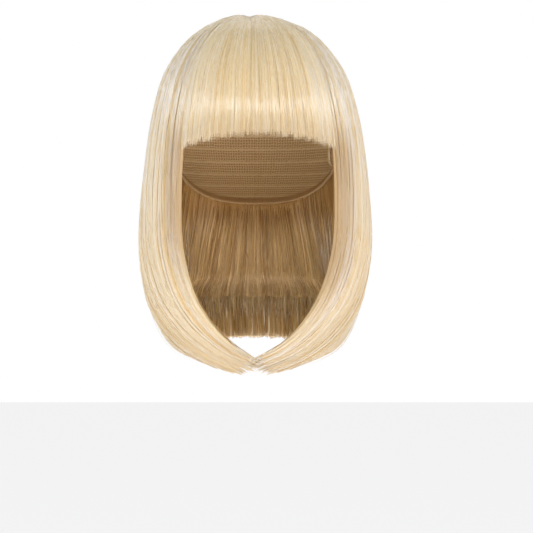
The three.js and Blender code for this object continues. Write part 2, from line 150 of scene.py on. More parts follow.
# Layers of fibres on the curtains.
#   part: name of the piece; face: outer or inner side of the curtain
#   fibres: how many; rings: cross-sections of each
#   rooted: share of them that starts at the whorl
#   first, last: where the others start, as shares of a strand's length
#   deep: how far below the surface they lie
#   tone: how much paler they are than usual, below 0 for more golden
#   tips, edges: how much paler still they are at their tips, and at the curtain's two edges
#   loose: share that stands off the others
LAYERS = [
    {"part": "bangs_fibres", "curtain": "bangs", "face": "outer", "fibres": 2100, "rings": 15,
     "rooted": 0.42, "first": 0.03, "last": 0.2, "deep": 0.0003, "tone": -0.12, "tips": 0.04,
     "edges": 0.1, "loose": 0.012},
    {"part": "side_lock_left_fibres", "curtain": "side_lock_left", "face": "outer", "fibres": 1150,
     "rings": 24, "rooted": 0.36, "first": 0.06, "last": 0.5, "deep": 0.0004, "tone": -0.02,
     "tips": 0.06, "edges": 0, "loose": 0.012},
    {"part": "side_lock_left_inner_fibres", "curtain": "side_lock_left", "face": "inner", "fibres": 300,
     "rings": 12, "rooted": 0, "first": 0.33, "last": 0.42, "deep": 0.001, "tone": -0.1,
     "tips": 0.35, "edges": 0, "loose": 0.012},
    {"part": "side_lock_right_fibres", "curtain": "side_lock_right", "face": "outer", "fibres": 1150,
     "rings": 24, "rooted": 0.36, "first": 0.06, "last": 0.5, "deep": 0.0004, "tone": -0.03,
     "tips": -0.06, "edges": 0, "loose": 0.012},
    {"part": "side_lock_right_inner_fibres", "curtain": "side_lock_right", "face": "inner", "fibres": 300,
     "rings": 12, "rooted": 0, "first": 0.33, "last": 0.42, "deep": 0.001, "tone": -0.1,
     "tips": 0.35, "edges": 0, "loose": 0.012},
    {"part": "back_hair_fibres", "curtain": "back_hair", "face": "outer", "fibres": 1300, "rings": 22,
     "rooted": 0.36, "first": 0.06, "last": 0.5, "deep": 0.0004, "tone": -0.04, "tips": 0,
     "edges": 0, "loose": 0.012},
    {"part": "back_hair_inner_fibres", "curtain": "back_hair", "face": "inner", "fibres": 700, "rings": 8,
     "rooted": 0, "first": 0.62, "last": 0.8, "deep": 0.001, "tone": -0.15, "tips": 0,
     "edges": 0, "loose": 0.012},
    {"part": "nape_hair_fibres", "curtain": "nape_hair", "face": "outer", "fibres": 200, "rings": 9,
     "rooted": 0, "first": 0.6, "last": 0.75, "deep": 0.001, "tone": -0.1, "tips": 0,
     "edges": 0, "loose": 0.012},
    {"part": "nape_hair_inner_fibres", "curtain": "nape_hair", "face": "inner", "fibres": 1500, "rings": 10,
     "rooted": 0, "first": 0.4, "last": 0.6, "deep": 0.003, "tone": -0.1, "tips": -0.05,
     "edges": 0, "loose": 0.012},
    {"part": "nape_wisps", "curtain": "nape_hair", "face": "inner", "fibres": 160, "rings": 12,
     "rooted": 0, "first": 0.5, "last": 0.68, "deep": 0, "tone": 0.15, "tips": 0.2,
     "edges": 0, "loose": 1},
]

# Lamps of the studio: rectangles that face the wig.
LAMPS = {
    "key_light": {"place": (0, -1.9, 0.74), "size": (3.2, 0.2), "watts": 31, "colour": "E6F3FF"},
    "low_light": {"place": (0.4, -1.7, -0.85), "size": (1.6, 0.8), "watts": 12, "colour": "FFDFCC"},
    "left_light": {"place": (-1.8, -0.9, 0.2), "size": (0.8, 1.4), "watts": 1.6, "colour": "FFEBE2"},
    "right_light": {"place": (1.8, -0.9, -0.45), "size": (0.8, 1.4), "watts": 2.2, "colour": "FFEFE8"},
    "left_rim_light": {"place": (-1.7, 0.9, 0.1), "size": (0.8, 1.4), "watts": 5, "colour": "FFFFFF"},
    "right_rim_light": {"place": (1.7, 0.9, 0.1), "size": (0.8, 1.4), "watts": 3, "colour": "FFFFFF"},
    "back_light": {"place": (0, 1.7, 1.5), "size": (2.4, 1.4), "watts": 13, "colour": "FFFAF6"},
    "rear_light": {"place": (0, 2.2, -0.2), "size": (2.0, 0.5), "watts": 12, "colour": "FFFFFF"},
}

# Where on a strand the hair that grows from the whorl starts, as a share of the strand's length.
WHORL_START = 0.004


def linear(hexadecimal):
    """Linear red, green, blue and alpha of an sRGB hex colour."""
    share = np.array([int(hexadecimal[i : i + 2], 16) for i in (0, 2, 4)]) / 255
    straight = np.where(share <= 0.04045, share / 12.92, ((share + 0.055) / 1.055) ** 2.4)
    return (*straight.tolist(), 1.0)


class BobWigForm(bpy.types.PropertyGroup):
    """Sizes of the cap and of the hair's form"""

    cap_wall: FloatProperty(
        name="Cap wall", description="Thickness of the cap", default=cap_high.z, unit="LENGTH", precision=4
    )
    cap_half_width: FloatProperty(
        name="Cap half width", description="From the middle of the cap to its inside at the sides",
        default=cap_high.x - cap_high.z, unit="LENGTH", precision=4,
    )
    cap_half_depth: FloatProperty(
        name="Cap half depth", description="From the middle of the cap to its inside at the back",
        default=cap_high.y - cap_high.z, unit="LENGTH", precision=4,
    )
    cap_height: FloatProperty(
        name="Cap height", description="From the cap's widest round to its inner top", default=0.085,
        unit="LENGTH", precision=4,
    )
    forehead_edge: FloatProperty(
        name="Forehead edge", description="From the crown down to the cap's edge at the forehead",
        default=0.042, unit="LENGTH", precision=4,
    )
    temple_edge: FloatProperty(
        name="Temple edge", description="From the crown down to the cap's edge at the temple",
        default=0.085, unit="LENGTH", precision=4,
    )
    ear_tab_edge: FloatProperty(
        name="Ear tab edge", description="From the crown down to the lowest edge of the ear tab",
        default=0.12, unit="LENGTH", precision=4,
    )
    ear_tab_corner: FloatProperty(
        name="Ear tab corner", description="From the crown down to where the ear tab turns up to the cut",
        default=0.1056, unit="LENGTH", precision=4,
    )
    ear_cut_top: FloatProperty(
        name="Ear cut top", description="From the crown down to where the ear cut's curve is pulled",
        default=0.092, unit="LENGTH", precision=4,
    )
    nape_edge: FloatProperty(
        name="Nape edge", description="From the crown down to the cap's edge at the nape",
        default=-cap_low.z, unit="LENGTH", precision=4,
    )
    hem_width: FloatProperty(
        name="Hem width", description="Width of the elastic hem along the cap's edge", default=0.007,
        unit="LENGTH", precision=4,
    )
    hem_thickness: FloatProperty(
        name="Hem thickness", description="How far the hem stands in from the cap", default=0.0006,
        unit="LENGTH", precision=4,
    )
    crown_fullness: FloatProperty(
        name="Crown fullness", description="How far the hair stands over the cap at the crown",
        default=0.0084, unit="LENGTH", precision=4,
    )
    side_fullness: FloatProperty(
        name="Side fullness", description="How far the hair stands out from the cap at the sides",
        default=0.02, unit="LENGTH", precision=4,
    )
    front_fullness: FloatProperty(
        name="Front fullness", description="How far the hair stands out from the cap at the forehead",
        default=0.0085, unit="LENGTH", precision=4,
    )
    back_fullness: FloatProperty(
        name="Back fullness", description="How far the hair stands out from the cap at the back",
        default=0.0155, unit="LENGTH", precision=4,
    )
    curtain_length: FloatProperty(
        name="Curtain length", description="From the cap's widest round down to the longest tip",
        default=0.21, unit="LENGTH", precision=3,
    )
    fringe_drop: FloatProperty(
        name="Fringe drop", description="From the crown down to the middle of the fringe's edge",
        default=0.0972, unit="LENGTH", precision=4,
    )
    fringe_arch: FloatProperty(
        name="Fringe arch", description="How much lower the fringe ends at its two corners", default=0.0103,
        unit="LENGTH", precision=4,
    )
    whorl_x: FloatProperty(
        name="Whorl X", description="Where the whorl is, sideways", default=-0.005, unit="LENGTH",
        precision=4,
    )
    whorl_y: FloatProperty(
        name="Whorl Y", description="Where the whorl is, from front to back", default=0.006, unit="LENGTH",
        precision=4,
    )
    settled: FloatProperty(
        name="Settled", description="How much lower the hair lies round the whorl", default=0.0017,
        unit="LENGTH", precision=4,
    )
    patch_top: FloatProperty(
        name="Patch top", description="Height of the film that the whorl grows from", default=patch_high.z,
        unit="LENGTH", precision=4,
    )
    parting_depth: FloatProperty(
        name="Parting depth", description="Depth of the short parting through the whorl", default=0.003,
        unit="LENGTH", precision=4,
    )
    parting_width: FloatProperty(
        name="Parting width", description="Width of the short parting", default=0.007, unit="LENGTH",
        precision=4,
    )
    parting_length: FloatProperty(
        name="Parting length", description="Length of the short parting", default=0.044, unit="LENGTH",
        precision=3,
    )
    curtain_thickness: FloatProperty(
        name="Curtain thickness", description="Thickness of the hair where it hangs", default=0.012,
        unit="LENGTH", precision=4,
    )
    face_thickness: FloatProperty(
        name="Front edge thickness", description="Thickness of the curtains' front edges",
        default=0.005, unit="LENGTH", precision=4,
    )
    tip_thickness: FloatProperty(
        name="Tip thickness", description="Thickness of the curtains at their tips", default=0.0045,
        unit="LENGTH", precision=4,
    )
    nape_seat_depth: FloatProperty(
        name="Nape seat depth", description="Thickness of the inner layer where it meets the cap",
        default=0.032, unit="LENGTH", precision=3,
    )
    nape_tip_thickness: FloatProperty(
        name="Nape tip thickness", description="Thickness of the inner layer at its tips", default=0.008,
        unit="LENGTH", precision=3,
    )
    nape_length: FloatProperty(
        name="Nape length", description="From the cap's widest round down to the inner layer's tips",
        default=0.178, unit="LENGTH", precision=3,
    )
    clearance: FloatProperty(
        name="Clearance", description="Gap between neighbouring pieces", default=0.0003, unit="LENGTH",
        precision=4,
    )


class BobWigFibres(bpy.types.PropertyGroup):
    """Sizes of the fibres and how they lie"""

    thickness: FloatProperty(
        name="Fibre thickness",
        description="Thickness at the middle, coarser than a real 0.1 mm fibre so that it shows",
        default=0.00043, unit="LENGTH", precision=5,
    )
    tuft_pull: FloatProperty(
        name="Tuft pull", description="Share of the way that tips draw to the middle of their tuft",
        default=0.3, min=0, max=1, subtype="FACTOR",
    )
    tuft_height: FloatProperty(
        name="Tuft height", description="How much higher the middle of a tuft stands", default=0.00025,
        unit="LENGTH", precision=5,
    )
    drift: FloatProperty(
        name="Drift", description="How far a tuft wanders sideways on its way down", default=0.0009,
        unit="LENGTH", precision=4,
    )
    wander: FloatProperty(
        name="Wander", description="How far a fibre wanders from its tuft", default=0.00016, unit="LENGTH",
        precision=5,
    )
    uneven_length: FloatProperty(
        name="Uneven length", description="How much the lengths of fibres differ at the tips",
        default=0.003, unit="LENGTH", precision=4,
    )
    crossing: FloatProperty(
        name="Crossing", description="How far the longest tips cross at the front", default=0.024,
        unit="LENGTH", precision=3,
    )
    loose_height: FloatProperty(
        name="Loose height", description="How far a loose fibre stands off", default=0.0022, unit="LENGTH",
        precision=4,
    )
    seed: IntProperty(name="Seed", description="Start of the random draws", default=11, min=0)


class BobWigColours(bpy.types.PropertyGroup):
    """Colours of the wig and of the studio"""

    hair_light: FloatVectorProperty(
        name="Light fibre", description="Palest fibres", subtype="COLOR", size=4, min=0, max=1,
        default=linear("F8EFE6"),
    )
    hair_middle: FloatVectorProperty(
        name="Blond fibre", description="Most of the fibres", subtype="COLOR", size=4, min=0, max=1,
        default=linear("F0DCB4"),
    )
    hair_golden: FloatVectorProperty(
        name="Golden fibre", description="Darkest fibres", subtype="COLOR", size=4, min=0, max=1,
        default=linear("E4C084"),
    )
    # Painted shade: the colour that fibres and packed fibre beside the face opening are darkened towards.
    hair_shaded: FloatVectorProperty(
        name="Shaded fibre", description="Fibres that lie deepest, beside the face opening",
        subtype="COLOR", size=4, min=0, max=1, default=linear("AE8A5E"),
    )
    # The inner layers' three colours are painted shade: a darker gold for the shade these layers lie in.
    shade_light: FloatVectorProperty(
        name="Light inner fibre", description="Palest fibres of the inner layers", subtype="COLOR", size=4,
        min=0, max=1, default=linear("EBCB92"),
    )
    shade_middle: FloatVectorProperty(
        name="Inner fibre", description="Most of the fibres of the inner layers", subtype="COLOR", size=4,
        min=0, max=1, default=linear("D3AA69"),
    )
    shade_dark: FloatVectorProperty(
        name="Dark inner fibre", description="Darkest fibres of the inner layers", subtype="COLOR", size=4,
        min=0, max=1, default=linear("A87F48"),
    )
    cap_net: FloatVectorProperty(
        name="Cap net", description="Knitted yarn of the cap", subtype="COLOR", size=4, min=0, max=1,
        default=linear("E2CDA4"),
    )
    skin_top: FloatVectorProperty(
        name="Skin top", description="Film under the whorl", subtype="COLOR", size=4, min=0, max=1,
        default=linear("DDB895"),
    )
    paper: FloatVectorProperty(
        name="Studio paper", description="Floor and backdrop", subtype="COLOR", size=4, min=0, max=1,
        default=linear("FAFAFA"),
    )


def smoothstep(x, low, high):
    """0 below low, 1 above high, and 3 t squared minus 2 t cubed between them."""
    t = np.clip((x - low) / (high - low), 0, 1)
    return t * t * (3 - 2 * t)


def mixed(a, b, share):
    """a at share 0, b at share 1, and straight between them."""
    return a + (b - a) * share


def table_value(table, key, column, x):
    """One column of a table at every x: a cubic between rows, where a row's slope is that of the line
    between its two neighbours, and straight on past the last row."""
    keys = np.array([row[key] for row in table], float)
    values = np.array([row[column] for row in table], float)
    past = np.maximum(x - keys[-1], 0)
    x = x - past
    rows = np.arange(len(keys))
    before = np.maximum(rows - 1, 0)
    after = np.minimum(rows + 1, len(keys) - 1)
    slopes = (values[after] - values[before]) / (keys[after] - keys[before])
    i = np.clip(np.searchsorted(keys, x, side="left") - 1, 0, len(keys) - 2)
    width = keys[i + 1] - keys[i]
    t = (x - keys[i]) / width
    from_start = values[i] * (1 + 2 * t) + slopes[i] * width * t
    from_end = values[i + 1] * (3 - 2 * t) - slopes[i + 1] * width * (1 - t)
    return from_start * (1 - t) ** 2 + from_end * t**2 + slopes[-1] * past


def crown_top(form):
    """Height of the hair at the crown."""
    return form.cap_wall + form.crown_fullness


def dome_height(form):
    """Height of the hair from its widest round on the cap to the crown."""
    return crown_top(form) + form.cap_height


def strand_length(form):
    """About the length of the longest strand, from the whorl to its tip: 1.35 times the hair's height."""
    return (dome_height(form) + form.curtain_length) * 1.35


def height_lost(form, along):
    """Height below the crown of a strand that hangs to the longest tip."""
    dome = table_value(ROUNDS, "along", "dome", along) * dome_height(form)
    return dome + table_value(ROUNDS, "along", "hang", along) * form.curtain_length


def along_at_height(form, lost):
    """Where on a strand it has lost a given height, found by halving for every height at once."""
    low = np.full(np.shape(lost), ROUNDS[1]["along"])
    high = np.ones(np.shape(lost))
    for _ in range(40):
        middle = (low + high) / 2
        higher = height_lost(form, middle) < lost
        low = np.where(higher, middle, low)
        high = np.where(higher, high, middle)
    return (low + high) / 2


def fringe_edges():
    """Angles of the fringe's two corners from the middle of the back, on the wearer's left and right."""
    left = np.radians(CURTAINS["bangs"]["start"])
    return left, np.radians(360 - CURTAINS["bangs"]["end"])


def strand_point(form, around, along):
    """Points on the hair's outer form: an ellipse for each round of the table, whose angle turns from the
    strand's own to its tip's, less a short soft groove through the whorl."""
    left, right = fringe_edges()
    turn = np.where(around > np.pi, around - 2 * np.pi, around)
    edge = np.where(turn < 0, right, left)
    start = np.minimum(np.abs(turn) / edge, 1)
    swept = table_value(ROUNDS, "along", "swept", along)
    tip_turn = np.radians(table_value(TIPS, "start", "turned", start)) + np.maximum(np.abs(turn) - edge, 0)
    reach = table_value(TIPS, "start", "reach", start)
    angle = np.sign(turn) * (np.abs(turn) * (1 - swept) + tip_turn * swept)
    offset = table_value(ROUNDS, "along", "whorl", along) - 1
    half_width = form.cap_half_width + form.cap_wall + form.side_fullness
    front = form.cap_half_depth + form.cap_wall + form.front_fullness
    back = form.cap_half_depth + form.cap_wall + form.back_fullness
    side = table_value(ROUNDS, "along", "wide", along) * half_width
    front = table_value(ROUNDS, "along", "front", along) * front
    back = table_value(ROUNDS, "along", "back", along) * back
    x = form.whorl_x * offset + side * np.sin(angle)
    y = form.whorl_y * offset + np.where(np.cos(angle) < 0, front, back) * np.cos(angle)
    groove = np.exp(-4 * ((x / form.parting_width) ** 2 + (y / form.parting_length) ** 2))
    lift = swept * (1 - reach) * form.curtain_length
    z = crown_top(form) - height_lost(form, along) + lift - form.parting_depth * groove
    return np.stack([form.whorl_x + x, form.whorl_y + y, z], -1)


def unit(vectors):
    """Vectors of length 1 in the same directions."""
    return vectors / np.maximum(np.linalg.norm(vectors, axis=-1, keepdims=True), 1e-12)


def strand_frame(form, around, along):
    """Outward direction of the hair's form, and metres for each radian round the wig, from one short step
    round the wig and one down the strand."""
    turn_step = 0.009
    down_step = 0.004
    low = np.maximum(along - down_step, 0)
    high = along + down_step
    across = strand_point(form, around + turn_step, along) - strand_point(form, around - turn_step, along)
    down = strand_point(form, around, high) - strand_point(form, around, low)
    return unit(np.cross(across, down)), np.linalg.norm(across, axis=-1) / (2 * turn_step)


def seat_end(form):
    """Where on a strand the hair leaves the cap: 0.86 of the dome's height below the crown."""
    return along_at_height(form, dome_height(form) * 0.86)


def seat_depth(form, along):
    """Thickness of the hair that lies on the cap: the side fullness from 0.16 of a strand on, and nearer to
    the whorl as far as the cap's inner top, from where clear_of_cap pushes it out."""
    return mixed(crown_top(form) + form.clearance, form.side_fullness, smoothstep(along, 0, 0.16))


def curtain_depth(form, around, along, end):
    """Thickness of a curtain: that of the hair on the cap as far as it lies on it, even where it hangs, and
    thinner over the last 30 degrees to its front edge and the last 0.3 of a strand to its tips."""
    left, right = fringe_edges()
    fringe_corner = along_at_height(form, crown_top(form) + form.fringe_drop + form.fringe_arch)
    edge = np.where(around < 0, right, left)
    beside_face = smoothstep(np.abs(around), edge - np.radians(30), edge)
    hung = mixed(form.curtain_thickness, form.face_thickness, beside_face)
    hanging = mixed(seat_depth(form, along), hung, smoothstep(along, seat_end(form), fringe_corner))
    return mixed(hanging, form.tip_thickness, smoothstep(along, end - 0.3, end))


def fringe_depth(form, around, along, end):
    """Thickness of the fringe: that of the hair on the cap, and thinner over the last 0.1 of a strand."""
    return mixed(seat_depth(form, along), form.tip_thickness, smoothstep(along, end - 0.1, end))


def nape_end(form):
    """Where on a strand the inner layer at the nape ends."""
    return along_at_height(form, dome_height(form) + form.nape_length)


def nape_depth(form, around, along, end):
    """Thickness of the inner layer at the nape: thick where it meets the cap, thinner at its two sides
    and at its tips."""
    edge = np.radians(CURTAINS["nape_hair"]["end"])
    seated = mixed(form.nape_seat_depth, form.curtain_thickness, smoothstep(np.abs(around), edge / 2, edge))
    cap_edge = along_at_height(form, crown_top(form) - cap_low.z)
    return mixed(seated, form.nape_tip_thickness, smoothstep(along, cap_edge, nape_end(form)))


def curtain_ends(form, name, around):
    """Where the strands of a curtain end: the fringe's on a parabola, the inner layer's level, and the
    others' at their own tips."""
    if name == "bangs":
        left, right = fringe_edges()
        middle = np.pi + (left - right) / 2
        from_middle = (around - middle) / (middle - left)
        return along_at_height(form, crown_top(form) + form.fringe_drop + form.fringe_arch * from_middle**2)
    if name == "nape_hair":
        return np.full(np.shape(around), nape_end(form))
    return np.ones(np.shape(around))


def curtain_inset(form, name, around, along):
    """How far a curtain's outer face lies inside the hair's form: only the inner layer at the nape does, by
    the thickness of the curtain over it, a gap and its own relief."""
    if name != "nape_hair":
        return np.zeros(np.broadcast(around, along).shape)
    nape_gap = 0.002
    return curtain_depth(form, around, along, 1) + nape_gap + CURTAINS[name]["relief"]


def tip_thinning(form, name, around, along, thick, left_over):
    """A curtain's thickness, which thins to what is left over on the last stretch before its packed fibre
    ends, a little above the tips."""
    stretch = 0.06
    end = curtain_ends(form, name, around) - CURTAINS[name]["short"] / strand_length(form)
    return mixed(thick, left_over, smoothstep(along, end - stretch, end))


def crown_settling(form, along):
    """How much lower the hair lies round the whorl, fading out from 0.02 to 0.2 of a strand."""
    return form.settled * (1 - smoothstep(along, 0.02, 0.2))


DEPTHS = {
    "bangs": fringe_depth,
    "side_lock_left": curtain_depth,
    "side_lock_right": curtain_depth,
    "back_hair": curtain_depth,
    "nape_hair": nape_depth,
}


def lock_edges(name):
    """Where the ridges of a curtain end, as shares of its width, moved by up to 0.22 of a lock by a sine
    wave."""
    locks = CURTAINS[name]["locks"]
    lock = np.arange(locks + 1)
    uneven = np.where((lock > 0) & (lock < locks), 0.22 * np.sin(lock * 2.4 + CURTAINS[name]["start"]), 0)
    return (lock + uneven) / locks


def ridge(name, share):
    """Height of a curtain's ridges as a share of their relief: half a sine wave over each lock."""
    edges = lock_edges(name)
    lock = np.clip(np.searchsorted(edges, share, side="right") - 1, 0, len(edges) - 2)
    within = np.clip((share - edges[lock]) / (edges[lock + 1] - edges[lock]), 0, 1)
    return np.sin(np.pi * within)


def clear_of_cap(form, points, gap):
    """The points, with those inside the cap's rounded form, grown by a gap, pushed straight out from its
    middle onto it."""
    grow = form.cap_wall + gap
    middle = np.array([0, 0, -form.cap_height])
    half = np.array([form.cap_half_width, form.cap_half_depth, form.cap_height]) + grow
    scaled = (points - middle) / half
    far = np.linalg.norm(scaled, axis=-1, keepdims=True)
    return middle + scaled / np.minimum(np.maximum(far, 1e-6), 1) * half


def face_shade(name, share, along):
    """Painted shade: how far the hair of a curtain darkens at its edge beside the face opening, where it
    lies deepest, as a share of the way to the shaded fibre colour, from the height of the fringe's edge down
    to where it is lit."""
    deepest = 0.62
    curtain = CURTAINS[name]
    beside_face = 1 - smoothstep(np.abs(share - curtain["front"]), 0, curtain["shaded"])
    lit = smoothstep(along, curtain["lit"] - 0.1, curtain["lit"] + 0.1)
    return deepest * beside_face * smoothstep(along, 0.33, 0.4) * (1 - lit)


def painted_side_sheen(around, along):
    """How much paler the hair is painted at the temples, and further down the wig's two sides: a painted
    sheen that stands for the white studio's reflection there. It fades out towards the whorl, the front and
    the back, and where the hair hangs."""
    at_temple = 0.13
    at_side = 0.16
    aside = np.abs(np.sin(around))
    temple = at_temple * smoothstep(aside, 0.4, 0.82) * (1 - smoothstep(along, 0.28, 0.42))
    side = at_side * smoothstep(aside, 0.86, 1) * (1 - smoothstep(along, 0.42, 0.62))
    return np.maximum(temple, side) * smoothstep(along, 0.1, 0.24)


def mesh_object(name, points, quads, triangles, uv, values, whole_turn=None):
    """A mesh object from arrays of points and faces, with a UV map and named values for every point. Where
    a map goes once round, a face across its seam takes one whole turn more at its corners past the seam."""
    faces = [np.asarray(quads, np.int32).reshape(-1, 4), np.asarray(triangles, np.int32).reshape(-1, 3)]
    corners = np.concatenate([faces[0].ravel(), faces[1].ravel()])
    sizes = np.concatenate([np.full(len(faces[0]), 4), np.full(len(faces[1]), 3)])
    starts = np.concatenate([[0], np.cumsum(sizes)[:-1]]).astype(np.int32)
    mesh = bpy.data.meshes.new(name)
    mesh.vertices.add(len(points))
    mesh.vertices.foreach_set("co", np.asarray(points, np.float32).ravel())
    mesh.loops.add(len(corners))
    mesh.loops.foreach_set("vertex_index", corners)
    mesh.polygons.add(len(starts))
    mesh.polygons.foreach_set("loop_start", starts)
    mesh.update(calc_edges=True)
    corner_uv = np.asarray(uv, np.float32)[corners]
    if whole_turn:
        widest = np.repeat(np.maximum.reduceat(corner_uv[:, 0], starts), sizes)
        corner_uv[:, 0] += whole_turn * (widest - corner_uv[:, 0] > whole_turn / 2)
    mesh.uv_layers.new(name="UVMap").uv.foreach_set("vector", corner_uv.ravel())
    for key, value in values.items():
        attribute = mesh.attributes.new(key, "FLOAT", "POINT")
        attribute.data.foreach_set("value", np.asarray(value, np.float32).ravel())
    mesh.shade_smooth()
    if mesh.validate():
        raise RuntimeError(f"{name} has faces that aren't real")
    piece = bpy.data.objects.new(name, mesh)
    bpy.context.scene.collection.objects.link(piece)
    return piece


def ring_faces(rows, columns, block_starts):
    """Quads of a grid of rows by columns that closes on itself across, for every block of points, which
    start at block_starts."""
    row, column = np.meshgrid(np.arange(rows - 1), np.arange(columns), indexing="ij")
    here = row * columns + column
    beside = row * columns + (column + 1) % columns
    quads = np.stack([here, beside, beside + columns, here + columns], -1).reshape(-1, 4)
    return (quads[None] + block_starts[:, None, None]).reshape(-1, 4)


def tube_points(value, sides):
    """A value at every ring of every tube, given to the ring's points and to the points at the two ends."""
    return np.concatenate([np.repeat(value, sides, axis=1), value[:, :1], value[:, -1:]], 1)


def fibre_tubes(name, lines, radius, normals, roll, values, uv_across):
    """One mesh of closed tubes with three sides: rings round every line at the given radius, turned by
    roll, and one point at each end, with named values that change along each line. The map runs down each
    tube in metres."""
    sides = 3
    tip_reach = 3
    fibres, rings, _ = lines.shape
    down = unit(np.gradient(lines, axis=1))
    out = unit(normals - (normals * down).sum(-1, keepdims=True) * down)
    beside = np.cross(down, out)
    turns = roll[:, None, None] + np.arange(sides) * 2 * np.pi / sides
    ring = (
        lines[:, :, None]
        + radius[:, :, None, None] * np.cos(turns)[..., None] * out[:, :, None]
        + radius[:, :, None, None] * np.sin(turns)[..., None] * beside[:, :, None]
    )
    root = lines[:, :1] - down[:, :1] * radius[:, :1, None]
    tip = lines[:, -1:] + down[:, -1:] * radius[:, -1:, None] * tip_reach
    each = sides * rings + 2
    points = np.concatenate([ring.reshape(fibres, -1, 3), root, tip], 1)
    first = np.arange(fibres) * each
    quads = ring_faces(rings, sides, first)
    side = np.arange(sides)
    last_ring = sides * (rings - 1)
    root_fan = np.stack([np.full(sides, each - 2), (side + 1) % sides, side], -1)
    tip_fan = np.stack([np.full(sides, each - 1), last_ring + side, last_ring + (side + 1) % sides], -1)
    triangles = (np.concatenate([root_fan, tip_fan])[None] + first[:, None, None]).reshape(-1, 3)
    lengths = np.linalg.norm(np.diff(lines, axis=1), axis=-1)
    far = tube_points(np.concatenate([np.zeros((fibres, 1)), np.cumsum(lengths, 1)], 1), sides)
    uv = np.stack([np.broadcast_to(uv_across[:, None], far.shape), far], -1)
    tube_values = {key: tube_points(value, sides) for key, value in values.items()}
    return mesh_object(name, points.reshape(-1, 3), quads, triangles, uv.reshape(-1, 2), tube_values)


def drawn_tufts(fibres, curtain, place, draws):
    """What the fibres at these places across a curtain take from their tufts. Tufts are spread evenly, each
    moved by up to a quarter of its width, and a fibre belongs to the nearest. A tuft has its own length,
    height and phase of drift, and its tone adds to that of a wider swathe of hair."""
    spread = 0.06
    count = curtain["tufts"]
    middles = (np.arange(count) + 0.5 + 0.5 * (draws.random(count) - 0.5)) / count
    own = np.searchsorted((middles[1:] + middles[:-1]) / 2, place)
    tone = draws.normal(0, spread, count) * curtain["mottled"]
    phase = draws.random(count) * 2 * np.pi
    unevenness = fibres.uneven_length * curtain["ragged"]
    length = draws.normal(0, 0.35, count) * unevenness * curtain["stepped"]
    level = draws.normal(0, 0.3, count) * fibres.tuft_height
    swathes = draws.normal(0, spread, curtain["locks"] * 2 + 1) * curtain["mottled"]
    swathe_tone = np.interp(place, np.linspace(0, 1, len(swathes)), swathes)
    return {
        "middle": middles[own],
        "from_middle": (place - middles[own]) * count,
        "tone": tone[own] + swathe_tone,
        "phase": phase[own],
        "length": length[own],
        "level": level[own],
    }


def drawn_spans(form, fibres, layer, place, tuft_length, steps, draws):
    """Which fibres of a layer start at the whorl, where each starts and ends on its strand, and where its
    rings lie. A tip is its curtain's end, changed by the length of its tuft, the point of its lock and a
    draw of its own, and near the front edge by a drawn share of the crossing. The rings of a fibre from the
    whorl lie close together where it bends out of it, and after that nearly evenly, but not level with
    those of its neighbours."""
    bend = np.array([WHORL_START, 0.011, 0.021, 0.036])
    bend_end = 0.055
    crossing_width = 0.45
    name = layer["curtain"]
    curtain = CURTAINS[name]
    start, end = np.radians([curtain["start"], curtain["end"]])
    count = len(place)
    at_whorl = draws.random(count) < layer["rooted"]
    begins = np.where(at_whorl, WHORL_START, mixed(layer["first"], layer["last"], draws.random(count)))
    shorter = curtain["point"] * curtain["stepped"] * (1 - ridge(name, place))
    unevenness = fibres.uneven_length * curtain["ragged"]
    uneven = (0.4 + draws.normal(0, 0.5, count) - draws.exponential(0.8, count)) * unevenness
    from_face = np.minimum(np.abs(place - curtain["front"]) / crossing_width, 1)
    uneven = uneven + (1 - from_face) * fibres.crossing * draws.random(count) ** 0.6
    ends = curtain_ends(form, name, mixed(start, end, place))
    ends = ends + (tuft_length + uneven - shorter) / strand_length(form)
    along = begins[:, None] + (ends - begins)[:, None] * steps
    spacing = mixed(0.88, 1.12, draws.random((count, 1)))
    spread = np.linspace(0, 1, layer["rings"] - len(bend))[None] ** spacing
    further = mixed(bend_end, ends[:, None], spread)
    from_root = np.concatenate([np.broadcast_to(bend, (count, len(bend))), further], 1)
    return at_whorl, begins, ends, np.where(at_whorl[:, None], from_root, along)


def drawn_tones(layer, tuft_tone, phase, share, around, along, steps, draws):
    """Tone of every ring of a layer's fibres: 0.5, the layer's own, the tuft's, a draw for each fibre and a
    slow sine wave along it, less in the creases between locks as painted shade, and more at the wig's sides
    on an outer layer as painted sheen, at the tips and at the curtain's edges."""
    painted_crease_shade = 0.2
    edge_width = 0.25
    curtain = CURTAINS[layer["curtain"]]
    own_tone = draws.normal(0, 0.095, len(tuft_tone)) * (1 + curtain["mottled"])
    tone = 0.5 + layer["tone"] + (tuft_tone + own_tone)[:, None]
    tone = tone + 0.05 * np.sin(along * 12 + phase)
    # Painted shade: the creases between locks are darker and more golden.
    crease_shade = (1 - ridge(layer["curtain"], share)) ** 2 * smoothstep(along, 0, 0.3)
    tone = tone - painted_crease_shade * curtain["mottled"] * crease_shade
    if layer["face"] == "outer":
        # Painted sheen: outer layers are paler at the temples and sides.
        tone = tone + painted_side_sheen(around, along)
    tone = tone + layer["tips"] * smoothstep(steps, 0.6, 1)
    return tone + layer["edges"] * (1 - smoothstep(np.minimum(share, 1 - share), 0, edge_width))


